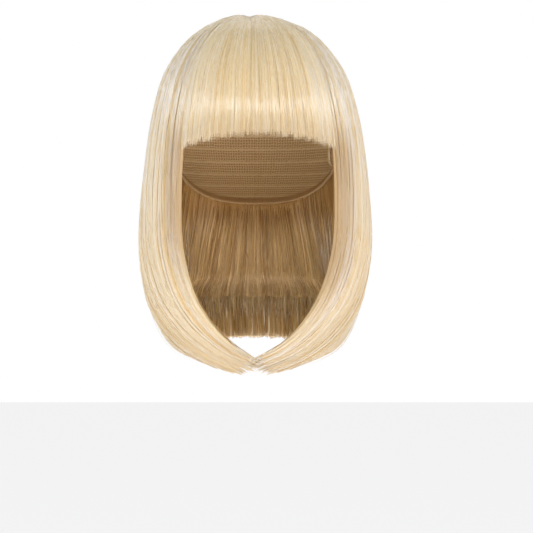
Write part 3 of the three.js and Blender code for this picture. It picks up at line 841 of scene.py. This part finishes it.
def layer_lines(form, fibres, layer, draws):
    """Centre lines, radii, outward directions, tones and painted shade of one layer of fibres.

    A fibre's place across the curtain is drawn evenly, pulled to the middle of its tuft as it nears its
    tip, and moved sideways by two slow sine waves, its tuft's and its own. Its height is that of the
    curtain's face, raised by the ridge of its lock and the rounded top of its tuft, and lowered by a drawn
    depth. One that starts on the way dives under the others at its root, and one that starts at the whorl
    grows from a small round there. Loose fibres are thinner, wander further and stand off. Every fibre is
    thinner at both ends."""
    root_crowding = 0.3
    root_dive = 0.0016
    ripple = 0.00012
    cap_gap = 0.0012
    least_thick = 0.0016
    whorl_round = (0.0006, 0.0036)
    name = layer["curtain"]
    curtain = CURTAINS[name]
    outside = layer["face"] == "outer"
    start, end = np.radians([curtain["start"], curtain["end"]])
    count = layer["fibres"]
    steps = np.linspace(0, 1, layer["rings"])[None]
    steps = mixed(steps, steps**2, root_crowding)
    place = (np.arange(count) + draws.random(count)) / count
    draws.shuffle(place)
    tufts = drawn_tufts(fibres, curtain, place, draws)
    at_whorl, begins, ends, along = drawn_spans(
        form, fibres, layer, place, tufts["length"], steps, draws
    )

    loose = draws.random(count) < layer["loose"]
    pull = fibres.tuft_pull * curtain["drawn"] * smoothstep(along, 0.08, 1)
    pull = pull * np.where(loose, 0, 1 if outside else 0.3)[:, None]
    share = place[:, None] + (tufts["middle"] - place)[:, None] * pull
    phase = draws.random((count, 2)) * 2 * np.pi
    sway = fibres.drift * np.sin(along * 9 + tufts["phase"][:, None])
    wander = fibres.wander * np.where(loose, 4, 1) * np.clip(curtain["ragged"], 1, 3.5)
    sway = curtain["sway"] * (sway + wander[:, None] * np.sin(along * 17 + phase[:, :1]))
    plain = mixed(start, end, share)
    _, metres = strand_frame(form, plain, along)
    around = plain + sway * smoothstep(along, 0.02, 0.35) / np.maximum(metres, 0.01)

    normal, _ = strand_frame(form, around, along)
    depth = layer["deep"] * draws.random(count) ** 1.5
    rounded = fibres.tuft_height * curtain["drawn"] * (1 - 4 * tufts["from_middle"] ** 2) + tufts["level"]
    waves = ripple * np.sin(along * 23 + phase[:, 1:])
    height = rounded[:, None] + waves - depth[:, None]
    height = height + np.where(loose, fibres.loose_height, 0)[:, None] * smoothstep(steps, 0.2, 1)
    risen = smoothstep(along - begins[:, None], 0, 0.06)
    dive = root_dive * (1 - risen) * np.where(at_whorl, 0, 1)[:, None]
    height = height - dive - crown_settling(form, along)
    inset = curtain_inset(form, name, around, along)
    if outside:
        raised = curtain["relief"] * (ridge(name, share) - 1) * smoothstep(along, 0, 0.3)
        lines = strand_point(form, around, along) + normal * (height + raised - inset)[..., None]
    else:
        thick = DEPTHS[name](form, around, along, ends[:, None])
        thick = tip_thinning(form, name, around, along, thick, least_thick)
        lines = strand_point(form, around, along) - normal * (height + thick + inset)[..., None]
        lines = clear_of_cap(form, lines, cap_gap)

    from_whorl = mixed(*whorl_round, draws.random(count))
    sideways = from_whorl * np.sin(plain[:, 0])
    backwards = from_whorl * np.cos(plain[:, 0])
    first = np.stack([sideways, backwards, 0 * sideways], -1)
    first = first + np.array([form.whorl_x, form.whorl_y, form.patch_top])
    lines[:, 0] = np.where(at_whorl[:, None], first, lines[:, 0])
    taper = (0.6 + 0.4 * smoothstep(steps, 0, 0.15)) * (1 - 0.7 * smoothstep(steps, 0.72, 1))
    own_size = 0.8 + 0.4 * draws.random((count, 1))
    radius = fibres.thickness / 2 * taper * np.where(loose, 0.6, 1)[:, None] * own_size
    tone = drawn_tones(layer, tufts["tone"], phase[:, :1], share, around, along, steps, draws)
    return lines, radius, normal, {"tone": tone, "shade": face_shade(name, place[:, None], along)}


def add_fibres(form, fibres, name):
    """The fibres of one curtain: a piece for each of its layers."""
    parts = []
    for layer in LAYERS:
        if layer["curtain"] == name:
            draws = np.random.default_rng([fibres.seed, LAYERS.index(layer)])
            lines, radius, normal, values = layer_lines(form, fibres, layer, draws)
            roll = draws.random(len(lines)) * 2 * np.pi
            across = draws.random(len(lines))
            parts.append(fibre_tubes(layer["part"], lines, radius, normal, roll, values, across))
    return parts


def closed_shell(name, outer, inner, uv, values):
    """A closed mesh between an outer and an inner grid of points: every row is a ring that runs over the
    outer grid and back over the inner one, and a strip closes each end. Edges of more than 50 degrees stay
    sharp."""
    rows, columns, _ = outer.shape
    ring = np.concatenate([outer, inner[:, ::-1]], 1)
    ring_uv = np.concatenate([uv, uv[:, ::-1]], 1)
    quads = ring_faces(rows, 2 * columns, np.zeros(1, int))
    column = np.arange(columns - 1)
    across = 2 * columns - 1 - column
    strip = np.stack([column + 1, column, across, across - 1], -1)
    base = (rows - 1) * 2 * columns
    quads = np.concatenate([quads, strip, base + strip[:, ::-1]])
    ring_values = {key: np.concatenate([value, value[:, ::-1]], 1) for key, value in values.items()}
    piece = mesh_object(name, ring.reshape(-1, 3), quads, [], ring_uv.reshape(-1, 2), ring_values)
    piece.data.set_sharp_from_angle(angle=np.radians(50))
    return piece


def add_shell(form, name):
    """Packed fibre of one curtain: the curtain's own form and ridges, sunk under its fibres, thinned to an
    edge a little above the tips, and pushed clear of the cap and of the patch on its crown."""
    rows = 36
    columns_each_lock = 6
    nape_start = 0.34
    sunk_hanging = 0.0006
    under_inner_fibres = 0.001
    least_thick = 0.001
    patch_reach = 0.0145
    patch_floor = -0.02
    patch_gap = 0.0019
    cap_gap = 0.0005
    least_wall = 0.0008
    metres_each_radian = 0.1
    curtain = CURTAINS[name]
    share = np.linspace(0, 1, curtain["locks"] * columns_each_lock + 1)[None]
    start, end = np.radians([curtain["start"], curtain["end"]])
    plain = mixed(start, end, share)
    back = curtain["short"] + curtain["point"] * curtain["stepped"] * (1 - ridge(name, share))
    ends = curtain_ends(form, name, plain) - back / strand_length(form)
    first = WHORL_START if name != "nape_hair" else nape_start
    steps = np.linspace(0, 1, rows)[:, None] ** 1.15
    along = first + (ends - first) * steps
    _, metres = strand_frame(form, plain + 0 * along, along)
    around = plain + form.clearance / 2 / np.maximum(metres, 0.002) * (1 - 2 * share)
    normal, _ = strand_frame(form, around, along)
    skin = strand_point(form, around, along)
    inset = curtain_inset(form, name, around, along)
    sunk = mixed(curtain["sunk"], sunk_hanging, smoothstep(along, 0.36, 0.5))
    raised = curtain["relief"] * (ridge(name, share) - 1) * smoothstep(along, 0, 0.3)
    outer = skin + normal * (raised - sunk - inset - crown_settling(form, along))[..., None]
    thick = DEPTHS[name](form, around, along, ends) - under_inner_fibres
    thick = tip_thinning(form, name, around, along, thick, sunk + least_thick)
    inner = skin - normal * (thick + inset)[..., None]
    from_whorl = np.hypot(inner[..., 0] - form.whorl_x, inner[..., 1] - form.whorl_y)
    over_patch = (from_whorl < patch_reach) & (inner[..., 2] > patch_floor)
    gap = np.where(over_patch, patch_gap, cap_gap)[..., None]
    inner = clear_of_cap(form, inner, gap)
    outer = clear_of_cap(form, outer, gap + least_wall)
    across = share * (end - start) * metres_each_radian
    uv = np.stack([across + 0 * along, along * strand_length(form)], -1)
    # The shell carries the same painted shade beside the face opening as its fibres.
    return closed_shell(f"{name}_packed", outer, inner, uv, {"shade": face_shade(name, share, along)})


def bezier(values, t):
    """A Bezier curve over t from 0 to 1: its values are mixed in pairs until one is left."""
    row = [np.full(t.shape, value, float) for value in values]
    while len(row) > 1:
        row = [mixed(a, b, t) for a, b in zip(row, row[1:])]
    return row[0]


def cap_edge_height(form, y):
    """Height of the cap's edge at places from front to back, straight between points of its curves."""
    t = np.linspace(0, 1, 24)
    depth = np.concatenate([bezier(curve["depth"], t) for curve in CAP_EDGE]) * form.cap_half_depth
    drops = [[getattr(form, size) for size in curve["drop"]] for curve in CAP_EDGE]
    return -np.interp(y, depth, np.concatenate([bezier(drop, t) for drop in drops]))


def cap_point(form, around, turned, out):
    """Points of an ellipsoid round the cap's middle: turned is the angle from the top, and out is how far
    the point lies outside the cap's inner face."""
    x = (form.cap_half_width + out) * np.sin(turned) * np.sin(around)
    y = (form.cap_half_depth + out) * np.sin(turned) * np.cos(around)
    z = (form.cap_height + out) * np.cos(turned) - form.cap_height
    return np.stack(np.broadcast_arrays(x, y, z), -1)


def cap_edge_turn(form, around):
    """Angle from the top at which each line down the cap first passes its edge, out of 900 steps."""
    turned = np.linspace(0.2, 2.7, 900)[:, None]
    line = cap_point(form, around, turned, 0.0)
    passed = line[..., 2] < cap_edge_height(form, line[..., 1])
    return turned[np.argmax(passed, axis=0), 0]


def add_cap(form):
    """The cap: an open ellipsoid shell whose lines run down its outside to the edge, round it and up its
    inside to the top, with a hem that stands in along the edge. The edge is smoothed by weights of 1, 2 and
    1 on each line and its neighbours. Its tone is 1 on the net and 0 on the hem, which the net material
    darkens there as painted shade."""
    columns = 180
    net_rows = 40
    hem_rows = 12
    hem_step = 0.001
    around = np.linspace(0, 2 * np.pi, columns, endpoint=False)[None]
    edge = cap_edge_turn(form, around)
    edge = ((np.roll(edge, 1) + edge * 2 + np.roll(edge, -1)) / 4)[None]
    share = np.concatenate([np.linspace(0.01, 0.9, net_rows), np.linspace(0.91, 1, hem_rows)])[:, None]
    turned = edge * share
    below = (edge - turned) * form.cap_height
    hem = form.hem_thickness * smoothstep(form.hem_width - below, 0, hem_step)
    outer = cap_point(form, around, turned, form.cap_wall)
    inner = cap_point(form, around, turned, -hem)
    rounded = cap_point(form, around, edge * 1.004, (form.cap_wall - form.hem_thickness) / 2)
    rings = np.concatenate([outer, rounded, inner[::-1]])
    tops = np.array([form.cap_wall, 0.0])[:, None]
    poles = cap_point(form, np.zeros(1), np.zeros(1), tops).reshape(-1, 3)
    points = np.concatenate([rings.reshape(-1, 3), poles])

    count = len(rings)
    quads = ring_faces(count, columns, np.zeros(1, int))
    column = np.arange(columns)
    beside = (column + 1) % columns
    last = (count - 1) * columns
    top = np.stack([np.full(columns, count * columns), beside, column], -1)
    under = np.stack([np.full(columns, count * columns + 1), last + column, last + beside], -1)
    fans = np.concatenate([top, under])

    down = np.concatenate([turned, edge, turned[::-1]]) * form.cap_height
    uv = np.stack([around * form.cap_half_width + 0 * down, down], -1).reshape(-1, 2)
    uv = np.concatenate([uv, np.zeros((2, 2))])
    whole_turn = 2 * np.pi * form.cap_half_width
    net = 1 - hem[::-1] / form.hem_thickness
    tone = np.concatenate([np.ones(hem.shape), np.zeros(edge.shape), net]).ravel()
    return mesh_object("cap_net", points, quads, fans, uv, {"tone": np.append(tone, [1, 1])}, whole_turn)


def add_node(tree, kind, settings=None, links=None):
    """Adds one node, sets its properties, inputs or colour stops, and links its inputs."""
    node = tree.nodes.new(kind)
    for key, value in (settings or {}).items():
        if key == "stops":
            while len(node.color_ramp.elements) < len(value):
                node.color_ramp.elements.new(1)
            for element, (position, colour) in zip(node.color_ramp.elements, value):
                element.position = position
                element.color = colour
        elif isinstance(key, str) and hasattr(node, key):
            setattr(node, key, value)
        else:
            node.inputs[key].default_value = value
    for key, socket in (links or {}).items():
        tree.links.new(socket, node.inputs[key])
    return node


def new_material(name):
    """An empty node material and its tree."""
    material = bpy.data.materials.new(name)
    material.use_nodes = True
    material.node_tree.nodes.clear()
    return material, material.node_tree


def mixed_colour(a, b, share):
    """A colour between two, as a tuple."""
    return tuple(mixed(np.array(a), np.array(b), share).tolist())


def shaded_colour(tree, colour, shaded):
    """A colour darkened to another by the mesh's own painted shade value. A colour mix has its share on
    socket 0, its two colours on sockets 6 and 7 and its result on output 2."""
    shade = add_node(tree, "ShaderNodeAttribute", {"attribute_name": "shade"})
    settings = {"data_type": "RGBA", 7: tuple(shaded)}
    return add_node(tree, "ShaderNodeMix", settings, {0: shade.outputs["Fac"], 6: colour}).outputs[2]


def deepest_shade(colours):
    """The darkest inner fibre, darkened by three tenths, for where it lies deepest: painted shade."""
    return mixed_colour(colours.shade_dark, (0, 0, 0, 1), 0.3)


def fibre_nodes(name, light, middle, dark, shaded):
    """Nodes of a smooth fibre: its tone comes from its mesh and changes slowly along it, about every 8 cm
    and unlike its neighbours', a ramp turns the tone to a colour, and painted shade then darkens it."""
    material, tree = new_material(name)
    tone = add_node(tree, "ShaderNodeAttribute", {"attribute_name": "tone"})
    uv = add_node(tree, "ShaderNodeUVMap", {"uv_map": "UVMap"})
    stretched = add_node(tree, "ShaderNodeMapping", {"Scale": (400, 12, 1)}, {"Vector": uv.outputs["UV"]})
    noise_links = {"Vector": stretched.outputs[0]}
    noise = add_node(tree, "ShaderNodeTexNoise", {"Scale": 1, "Detail": 2}, noise_links)
    tone_links = {0: noise.outputs[0], 2: tone.outputs["Fac"]}
    along = add_node(tree, "ShaderNodeMath", {"operation": "MULTIPLY_ADD", 1: 0.3}, tone_links)
    stops = [(0.25, tuple(dark)), (0.62, tuple(middle)), (1.0, tuple(light))]
    ramp = add_node(tree, "ShaderNodeValToRGB", {"stops": stops}, {"Fac": along.outputs[0]})
    gloss = {"Roughness": 0.23, "IOR": 1.53, "Specular IOR Level": 1.0}
    links = {"Base Color": shaded_colour(tree, ramp.outputs["Color"], shaded)}
    shader = add_node(tree, "ShaderNodeBsdfPrincipled", gloss, links)
    add_node(tree, "ShaderNodeOutputMaterial", None, {"Surface": shader.outputs[0]})
    return material


def fibre_material(name, colours):
    """Heat-resistant acrylic fibre, extruded and left smooth: pale blond fibres of several tones, each with
    a bright gloss. Side by side they give a soft band of it."""
    tones = (colours.hair_light, colours.hair_middle, colours.hair_golden, colours.hair_shaded)
    return fibre_nodes(name, *tones)


def inner_fibre_material(name, colours):
    """The same fibre in the inner layers, painted a darker gold as shade, which the open front shows."""
    tones = (colours.shade_light, colours.shade_middle, colours.shade_dark)
    return fibre_nodes(name, *tones, deepest_shade(colours))


def packed_nodes(name, middle, dark, shaded):
    """Nodes of fibre packed side by side: streaks about 1 mm wide and 11 cm long that run along it, with a
    relief that breaks up its gloss, and painted shade that darkens its colour."""
    streak_width = 0.001
    material, tree = new_material(name)
    uv = add_node(tree, "ShaderNodeUVMap", {"uv_map": "UVMap"})
    scale = (1 / streak_width, 9, 1)
    stretched = add_node(tree, "ShaderNodeMapping", {"Scale": scale}, {"Vector": uv.outputs["UV"]})
    streak_links = {"Vector": stretched.outputs[0]}
    streaks = add_node(tree, "ShaderNodeTexNoise", {"Scale": 1, "Detail": 3}, streak_links)
    stops = [(0.27, tuple(dark)), (0.62, tuple(middle))]
    ramp = add_node(tree, "ShaderNodeValToRGB", {"stops": stops}, {"Fac": streaks.outputs[0]})
    relief = {"Strength": 0.8, "Distance": 0.0004}
    bump = add_node(tree, "ShaderNodeBump", relief, {"Height": streaks.outputs[0]})
    colour = shaded_colour(tree, ramp.outputs["Color"], shaded)
    gloss = {"Roughness": 0.4, "IOR": 1.53, "Specular IOR Level": 1.0}
    links = {"Base Color": colour, "Normal": bump.outputs[0]}
    shader = add_node(tree, "ShaderNodeBsdfPrincipled", gloss, links)
    add_node(tree, "ShaderNodeOutputMaterial", None, {"Surface": shader.outputs[0]})
    return material


def packed_material(name, colours):
    """Acrylic fibre under the top layer, a little more golden than the fibres that lie on it."""
    return packed_nodes(name, colours.hair_middle, colours.hair_golden, colours.hair_shaded)


def inner_packed_material(name, colours):
    """Acrylic fibre under the inner layers, painted in the darker gold of the fibres on it as shade."""
    return packed_nodes(name, colours.shade_middle, colours.shade_dark, deepest_shade(colours))


def net_material(name, colours):
    """Knitted nylon net with stitched rows: matt beige yarn in cells, drawn 2.4 mm wide, twice the real
    size, so that they show, over the hair roots behind in a darker gold of painted shade, a sewn row every
    12 mm and an elastic hem darkened by painted shade."""
    cell_width = 0.0024
    row_spacing = 0.012
    material, tree = new_material(name)
    uv = add_node(tree, "ShaderNodeUVMap", {"uv_map": "UVMap"})
    cells = add_node(
        tree,
        "ShaderNodeTexVoronoi",
        {
            "voronoi_dimensions": "2D",
            "feature": "DISTANCE_TO_EDGE",
            "Scale": 1 / cell_width,
            "Randomness": 0.3,
        },
        {"Vector": uv.outputs["UV"]},
    )
    waves = {
        "bands_direction": "Y",
        "Scale": np.pi / (10 * row_spacing),
        "Distortion": 0.6,
        "Detail": 1,
        "Detail Scale": 20,
    }
    rows = add_node(tree, "ShaderNodeTexWave", waves, {"Vector": uv.outputs["UV"]})
    thread = {"From Min": 0.1, "From Max": 0.24, "To Min": 1, "To Max": 0}
    yarn = add_node(tree, "ShaderNodeMapRange", thread, {0: cells.outputs[0]})
    stitches = {"From Min": 0.88, "From Max": 0.97}
    sewn = add_node(tree, "ShaderNodeMapRange", stitches, {0: rows.outputs["Fac"]})
    both = {0: yarn.outputs[0], 1: sewn.outputs[0]}
    height = add_node(tree, "ShaderNodeMath", {"operation": "MAXIMUM"}, both)
    tone = add_node(tree, "ShaderNodeAttribute", {"attribute_name": "tone"})
    off_hem = {0: height.outputs[0], 1: tone.outputs["Fac"]}
    pale = add_node(tree, "ShaderNodeMath", {"operation": "MULTIPLY"}, off_hem)
    # The holes and the hem take this darker gold as painted shade.
    behind = mixed_colour(colours.cap_net, colours.shade_dark, 0.75)
    stops = [(0.0, behind), (0.8, tuple(colours.cap_net))]
    ramp = add_node(tree, "ShaderNodeValToRGB", {"stops": stops}, {"Fac": pale.outputs[0]})
    relief = {"Strength": 0.7, "Distance": 0.0005}
    bump = add_node(tree, "ShaderNodeBump", relief, {"Height": height.outputs[0]})
    matt = {"Roughness": 0.75, "IOR": 1.53}
    links = {"Base Color": ramp.outputs["Color"], "Normal": bump.outputs[0]}
    shader = add_node(tree, "ShaderNodeBsdfPrincipled", matt, links)
    add_node(tree, "ShaderNodeOutputMaterial", None, {"Surface": shader.outputs[0]})
    return material


def skin_top_material(name, colours):
    """Cast polyurethane film: skin beige with soft mottling 4 mm wide, pores about 0.7 mm apart and a low
    sheen."""
    mottle_width = 0.004
    material, tree = new_material(name)
    place = add_node(tree, "ShaderNodeTexCoord").outputs["Object"]
    blotches = {"Scale": 1 / mottle_width, "Detail": 2}
    mottle = add_node(tree, "ShaderNodeTexNoise", blotches, {"Vector": place})
    pores = add_node(tree, "ShaderNodeTexVoronoi", {"Scale": 1400}, {"Vector": place})
    redder = mixed_colour(colours.skin_top, linear("C08A66"), 0.35)
    stops = [(0.35, redder), (0.65, tuple(colours.skin_top))]
    ramp = add_node(tree, "ShaderNodeValToRGB", {"stops": stops}, {"Fac": mottle.outputs[0]})
    relief = {"Strength": 0.4, "Distance": 0.0002}
    bump = add_node(tree, "ShaderNodeBump", relief, {"Height": pores.outputs["Distance"]})
    sheen = {"Roughness": 0.5, "IOR": 1.5}
    links = {"Base Color": ramp.outputs["Color"], "Normal": bump.outputs[0]}
    shader = add_node(tree, "ShaderNodeBsdfPrincipled", sheen, links)
    add_node(tree, "ShaderNodeOutputMaterial", None, {"Surface": shader.outputs[0]})
    return material


MATERIALS = {
    "extruded_acrylic_fibre": fibre_material,
    "golden_acrylic_fibre": inner_fibre_material,
    "packed_acrylic_fibre": packed_material,
    "packed_golden_fibre": inner_packed_material,
    "knitted_nylon_net": net_material,
    "cast_polyurethane_film": skin_top_material,
}


def ready_material(name, colours):
    """The material of that name, made once."""
    if name in bpy.data.materials:
        return bpy.data.materials[name]
    return MATERIALS[name](name, colours)


def finish_piece(piece, material, slot, *nodes):
    """Gives a piece its material, lets it ride on the wig's one body and stand for its nodes. Its slot is
    not used.
    """
    piece.data.materials.append(material)
    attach(piece, "root")
    if nodes:
        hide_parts(*nodes)


def build_curtain(context, name, slot):
    """Shell and fibres of one curtain. The nape layer and the fibres on inner faces are painted a darker
    gold as shade.
    """
    form = context.scene.bob_wig_form
    colours = context.scene.bob_wig_colours
    inner_layer = slot == "hair_inner"
    packed = "packed_golden_fibre" if inner_layer else "packed_acrylic_fibre"
    finish_piece(add_shell(form, name), ready_material(packed, colours), slot, name)
    for piece in add_fibres(form, context.scene.bob_wig_fibres, name):
        inside = inner_layer or piece.name.endswith("inner_fibres")
        fibre = "golden_acrylic_fibre" if inside else "extruded_acrylic_fibre"
        finish_piece(piece, ready_material(fibre, colours), slot, name)


class BOB_WIG_OT_cap(bpy.types.Operator):
    """Add the cap and finish the patch on its crown"""

    bl_idname = "bob_wig.cap"
    bl_label = "Cap"

    def execute(self, context):
        colours = context.scene.bob_wig_colours
        net = ready_material("knitted_nylon_net", colours)
        finish_piece(add_cap(context.scene.bob_wig_form), net, "cap_net", "cap")
        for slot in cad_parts["crown_patch"].material_slots:
            slot.material = ready_material("cast_polyurethane_film", colours)
        return {"FINISHED"}


class BOB_WIG_OT_bangs(bpy.types.Operator):
    """Add the fringe"""

    bl_idname = "bob_wig.bangs"
    bl_label = "Fringe"

    def execute(self, context):
        build_curtain(context, "bangs", "hair")
        return {"FINISHED"}


class BOB_WIG_OT_side_locks(bpy.types.Operator):
    """Add the two side curtains"""

    bl_idname = "bob_wig.side_locks"
    bl_label = "Side Curtains"

    def execute(self, context):
        build_curtain(context, "side_lock_left", "hair")
        build_curtain(context, "side_lock_right", "hair")
        return {"FINISHED"}


class BOB_WIG_OT_back_hair(bpy.types.Operator):
    """Add the back curtain"""

    bl_idname = "bob_wig.back_hair"
    bl_label = "Back Curtain"

    def execute(self, context):
        build_curtain(context, "back_hair", "hair")
        return {"FINISHED"}


class BOB_WIG_OT_nape_hair(bpy.types.Operator):
    """Add the inner layer at the nape"""

    bl_idname = "bob_wig.nape_hair"
    bl_label = "Nape Layer"

    def execute(self, context):
        build_curtain(context, "nape_hair", "hair_inner")
        return {"FINISHED"}


def light_world(scene):
    """Even white air, brighter where the camera sees it as the backdrop."""
    air_strength = 0.41
    backdrop_strength = 1.0
    white = (1, 1, 1, 1)
    world = bpy.data.worlds.new("studio_air")
    world.use_nodes = True
    tree = world.node_tree
    tree.nodes.clear()
    ray = add_node(tree, "ShaderNodeLightPath")
    air = add_node(tree, "ShaderNodeBackground", {"Color": white, "Strength": air_strength})
    backdrop = add_node(tree, "ShaderNodeBackground", {"Color": white, "Strength": backdrop_strength})
    both = {0: ray.outputs["Is Camera Ray"], 1: air.outputs[0], 2: backdrop.outputs[0]}
    seen = add_node(tree, "ShaderNodeMixShader", None, both)
    add_node(tree, "ShaderNodeOutputWorld", None, {"Surface": seen.outputs[0]})
    scene.world = world


def add_floor(scene):
    """A square of matt paper far under the wig, which glows a little so that it is as white as the air."""
    height = -0.95
    half = 12
    corners = np.array([[-1.0, -1, 0], [1, -1, 0], [1, 1, 0], [-1, 1, 0]]) * half
    corners[:, 2] = height
    mesh = bpy.data.meshes.new("floor")
    mesh.from_pydata(corners.tolist(), [], [(0, 1, 2, 3)])
    floor = bpy.data.objects.new("floor", mesh)
    scene.collection.objects.link(floor)
    material, tree = new_material("matt_paper")
    paper = tuple(scene.bob_wig_colours.paper)
    matt = {"Base Color": paper, "Roughness": 0.9, "Emission Color": paper, "Emission Strength": 0.52}
    shader = add_node(tree, "ShaderNodeBsdfPrincipled", matt)
    add_node(tree, "ShaderNodeOutputMaterial", None, {"Surface": shader.outputs[0]})
    mesh.materials.append(material)


def add_lamps(scene):
    """The lamps of the studio, turned to face the middle of the wig."""
    target = Vector((0, 0, -0.11))
    for name, row in LAMPS.items():
        lamp = bpy.data.lights.new(name, "AREA")
        lamp.shape = "RECTANGLE"
        lamp.size, lamp.size_y = row["size"]
        lamp.energy = row["watts"]
        lamp.color = linear(row["colour"])[:3]
        light = bpy.data.objects.new(name, lamp)
        light.location = row["place"]
        light.rotation_euler = (target - light.location).to_track_quat("-Z", "Y").to_euler()
        scene.collection.objects.link(light)


def add_camera(scene):
    """A camera straight in front of the wig, whose lens takes in a width of 45 cm there."""
    distance = 2.2
    seen_width = 0.453
    middle_x = 0.00935
    middle_z = -0.205
    lens = bpy.data.cameras.new("camera")
    lens.sensor_width = 36
    lens.lens = lens.sensor_width * distance / seen_width
    camera = bpy.data.objects.new("camera", lens)
    camera.location = (middle_x, -distance, middle_z)
    camera.rotation_euler = (np.pi / 2, 0, 0)
    scene.collection.objects.link(camera)
    scene.camera = camera


class BOB_WIG_OT_stage(bpy.types.Operator):
    """Add the studio: air, floor, lamps and camera"""

    bl_idname = "bob_wig.stage"
    bl_label = "Studio"

    def execute(self, context):
        light_world(context.scene)
        add_floor(context.scene)
        add_lamps(context.scene)
        add_camera(context.scene)
        context.scene.view_settings.view_transform = "Standard"
        return {"FINISHED"}


class BOB_WIG_PT_panel(bpy.types.Panel):
    """Lists the pieces of the wig and their sizes"""

    bl_label = "Bob Wig"
    bl_idname = "BOB_WIG_PT_panel"
    bl_space_type = "VIEW_3D"
    bl_region_type = "UI"
    bl_category = "Bob Wig"

    def draw(self, context):
        for kind in PIECES:
            self.layout.operator(kind.bl_idname)
        scene = context.scene
        for group in (scene.bob_wig_form, scene.bob_wig_fibres, scene.bob_wig_colours):
            for name in group.bl_rna.properties.keys():
                if name not in ("rna_type", "name"):
                    self.layout.prop(group, name)


PIECES = [
    BOB_WIG_OT_cap,
    BOB_WIG_OT_bangs,
    BOB_WIG_OT_side_locks,
    BOB_WIG_OT_back_hair,
    BOB_WIG_OT_nape_hair,
    BOB_WIG_OT_stage,
]
CLASSES = [BobWigForm, BobWigFibres, BobWigColours, *PIECES, BOB_WIG_PT_panel]


def register():
    for kind in CLASSES:
        bpy.utils.register_class(kind)
    bpy.types.Scene.bob_wig_form = PointerProperty(type=BobWigForm)
    bpy.types.Scene.bob_wig_fibres = PointerProperty(type=BobWigFibres)
    bpy.types.Scene.bob_wig_colours = PointerProperty(type=BobWigColours)


def unregister():
    del bpy.types.Scene.bob_wig_colours
    del bpy.types.Scene.bob_wig_fibres
    del bpy.types.Scene.bob_wig_form
    for kind in reversed(CLASSES):
        bpy.utils.unregister_class(kind)


def main():
    register()
    bpy.ops.bob_wig.cap()
    bpy.ops.bob_wig.bangs()
    bpy.ops.bob_wig.side_locks()
    bpy.ops.bob_wig.back_hair()
    bpy.ops.bob_wig.nape_hair()
    bpy.ops.bob_wig.stage()


if __name__ == "__main__":
    main()
